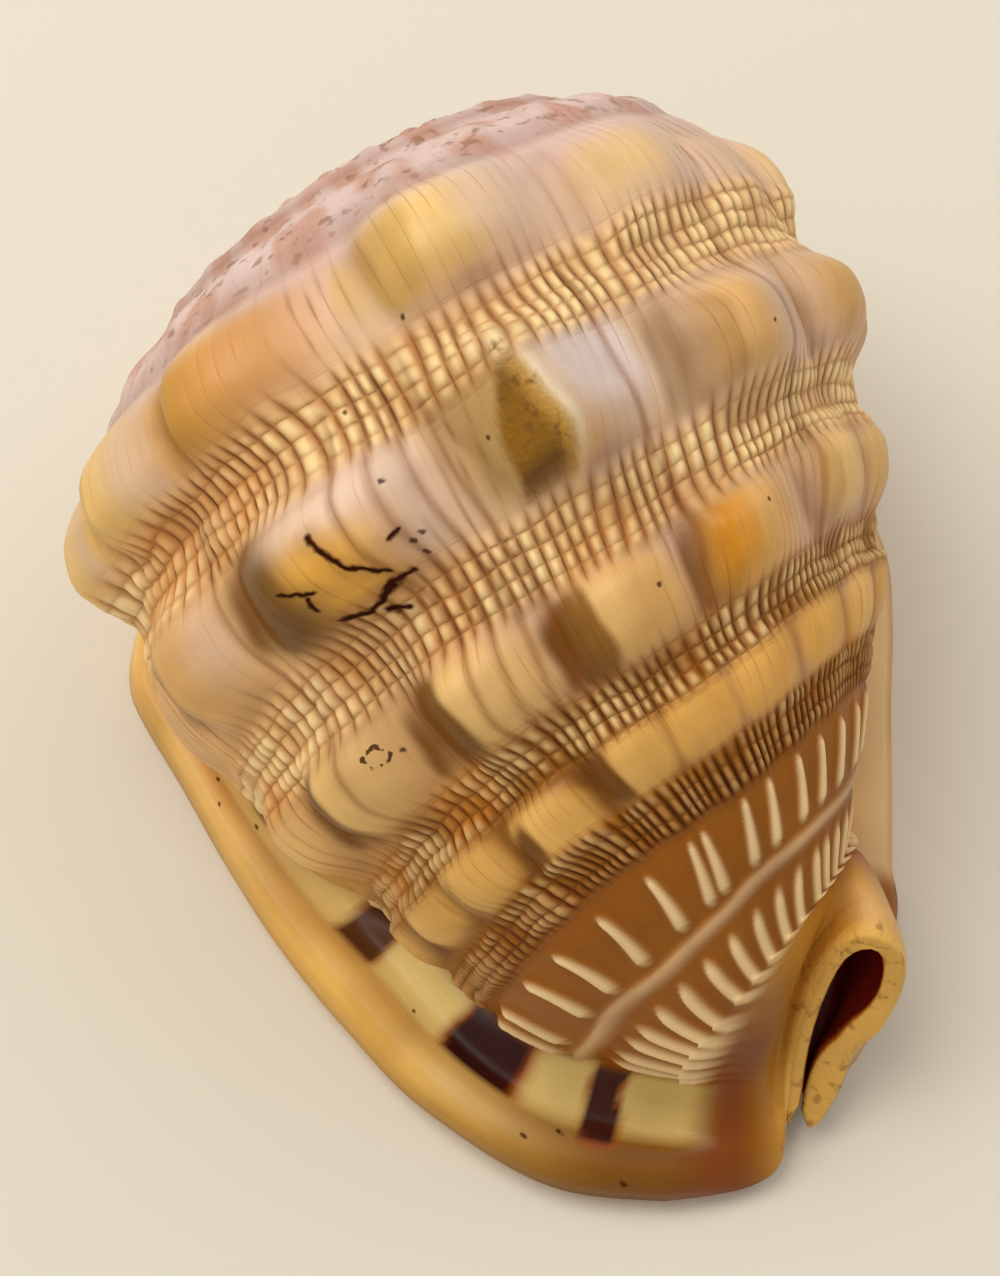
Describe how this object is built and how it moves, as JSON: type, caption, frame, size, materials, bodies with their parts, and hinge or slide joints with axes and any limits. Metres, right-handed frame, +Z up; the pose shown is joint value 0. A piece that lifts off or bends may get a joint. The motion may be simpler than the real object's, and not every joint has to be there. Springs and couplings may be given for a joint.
{
  "type": "helmet shell",
  "caption": "Large heavy sea-snail shell with rows of knobs, ribbed bands, a broad rolled lip and a bent-up canal, resting on its toothed aperture; for display, study or carving.",
  "frame": {"origin": "middle of the underside, on the plane that the shell rests on", "axes": "+Z up from the table; +Y to the spire, the shell's length; -Y to the siphonal canal; -X to the outer lip"},
  "size_m": [0.1146, 0.1472, 0.0971],
  "materials": {
    "shell": "semi-gloss"
  },
  "bodies": {
    "root": {"shell": "shell"}
  },
  "joints": []
}
